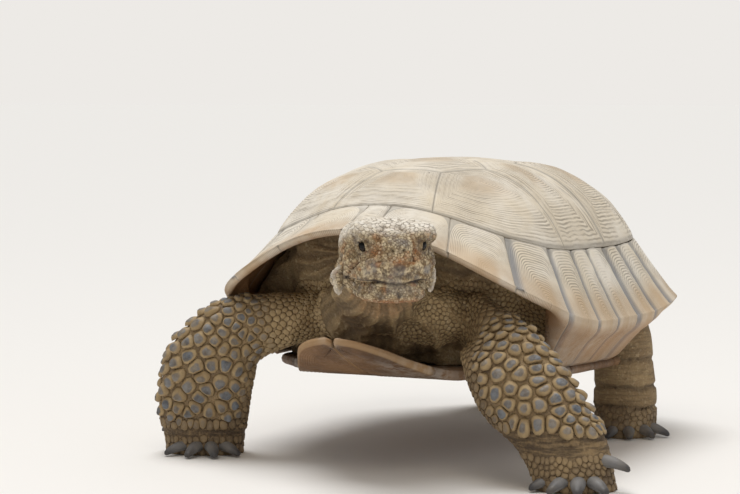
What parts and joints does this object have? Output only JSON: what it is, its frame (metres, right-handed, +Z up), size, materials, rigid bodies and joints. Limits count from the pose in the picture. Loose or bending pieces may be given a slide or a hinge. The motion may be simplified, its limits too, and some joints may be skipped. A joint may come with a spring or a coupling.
{
  "type": "desert tortoise model",
  "caption": "Life-size still model of a desert tortoise standing on four feet in mid-stride, domed shell, head raised and turned to its left.",
  "frame": {"origin": "centre of the model's box at floor level", "axes": "+Z up, the tail end towards +Y, the animal's left side towards +X; its head is turned 35 degrees from -Y towards +X"},
  "size_m": [0.2632, 0.347, 0.1507],
  "materials": {
    "shell_plate": "dry horn with fine growth rings",
    "belly_plate": "worn horn",
    "soft_skin": "dry wrinkled skin",
    "head_skin": "small dry scales",
    "limb_skin": "large raised scales",
    "eye": "wet gloss"
  },
  "bodies": {
    "root": {"vertebral_1": "shell_plate", "vertebral_2": "shell_plate", "vertebral_3": "shell_plate", "vertebral_4": "shell_plate", "vertebral_5": "shell_plate", "costal_1_left": "shell_plate", "costal_2_left": "shell_plate", "costal_3_left": "shell_plate", "costal_4_left": "shell_plate", "costal_1_right": "shell_plate", "costal_2_right": "shell_plate", "costal_3_right": "shell_plate", "costal_4_right": "shell_plate", "nuchal": "shell_plate", "supracaudal": "shell_plate", "marginal_1_left": "shell_plate", "marginal_1_right": "shell_plate", "marginal_2_left": "shell_plate", "marginal_2_right": "shell_plate", "marginal_3_left": "shell_plate", "marginal_3_right": "shell_plate", "marginal_4_left": "shell_plate", "marginal_4_right": "shell_plate", "marginal_5_left": "shell_plate", "marginal_5_right": "shell_plate", "marginal_6_left": "shell_plate", "marginal_6_right": "shell_plate", "marginal_7_left": "shell_plate", "marginal_7_right": "shell_plate", "marginal_8_left": "shell_plate", "marginal_8_right": "shell_plate", "marginal_9_left": "shell_plate", "marginal_9_right": "shell_plate", "marginal_10_left": "shell_plate", "marginal_10_right": "shell_plate", "marginal_11_left": "shell_plate", "marginal_11_right": "shell_plate", "gular_left": "belly_plate", "gular_right": "belly_plate", "humeral_left": "belly_plate", "humeral_right": "belly_plate", "pectoral_left": "belly_plate", "pectoral_right": "belly_plate", "abdominal_left": "belly_plate", "abdominal_right": "belly_plate", "femoral_left": "belly_plate", "femoral_right": "belly_plate", "anal_left": "belly_plate", "anal_right": "belly_plate", "trunk": "soft_skin", "neck": "soft_skin", "head": "head_skin", "eye_left": "eye", "eye_right": "eye", "foreleg_right": "limb_skin", "foreleg_left": "limb_skin", "hindleg_right": "limb_skin", "hindleg_left": "limb_skin", "tail": "soft_skin"}
  },
  "joints": []
}
